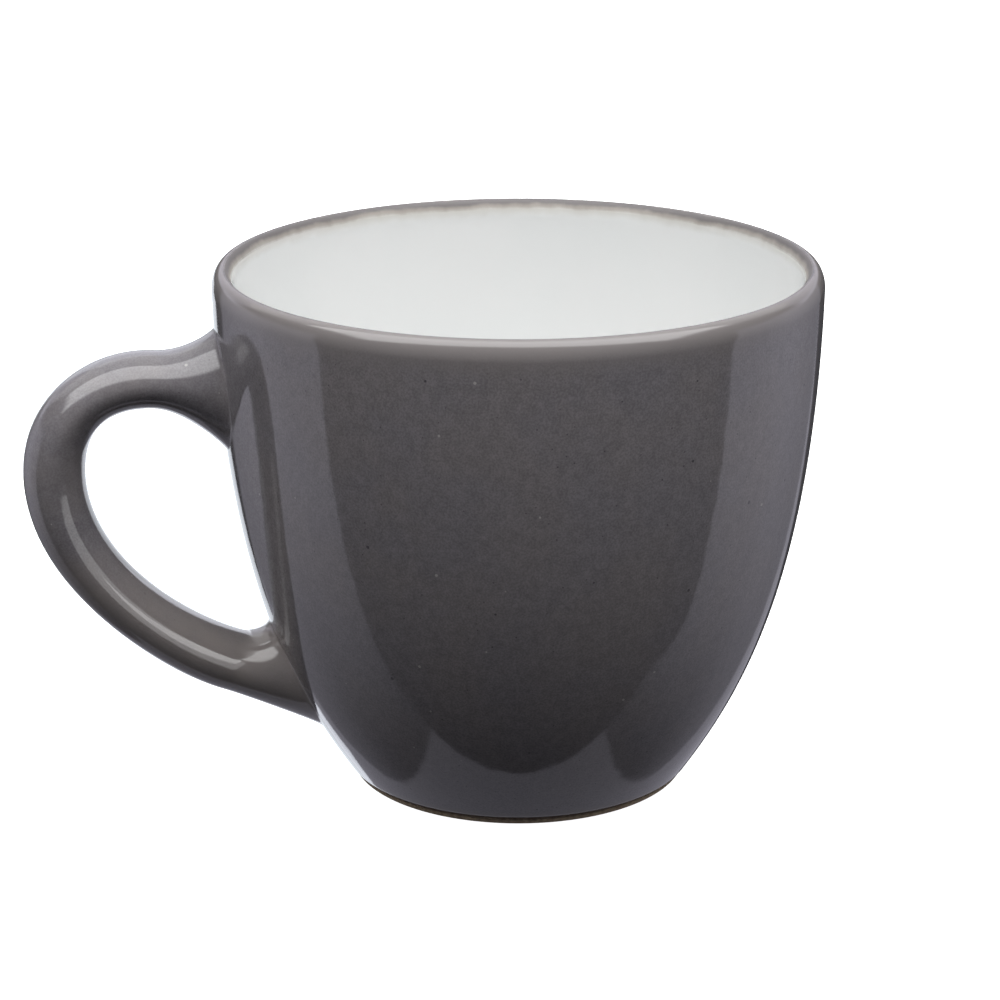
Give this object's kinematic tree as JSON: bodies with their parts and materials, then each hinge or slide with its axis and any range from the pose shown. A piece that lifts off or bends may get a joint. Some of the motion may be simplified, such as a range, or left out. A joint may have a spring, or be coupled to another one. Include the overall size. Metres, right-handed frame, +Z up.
{
  "type": "espresso mug",
  "caption": "Small stoneware espresso mug with a one-finger loop handle, glossy grey glaze outside and white glaze inside, standing on a bare foot ring.",
  "frame": {"origin": "on the bowl's axis, on the plane of the foot ring that stands on the table", "axes": "+Z up along the bowl's axis, the handle towards -X"},
  "size_m": [0.0842, 0.064, 0.056],
  "materials": {
    "stoneware": "bare fired stoneware, fine and slightly rough",
    "slip": "fired slip, smooth",
    "grey_glaze": "glossy taupe-grey glaze with fine specks",
    "white_glaze": "glossy white glaze"
  },
  "bodies": {
    "root": {"stoneware_bowl": "stoneware", "handle": "stoneware", "upper_slip_joint": "slip", "lower_slip_joint": "slip", "outer_glaze": "grey_glaze", "inner_glaze": "white_glaze", "base_glaze": "grey_glaze", "handle_glaze": "grey_glaze"}
  },
  "joints": []
}
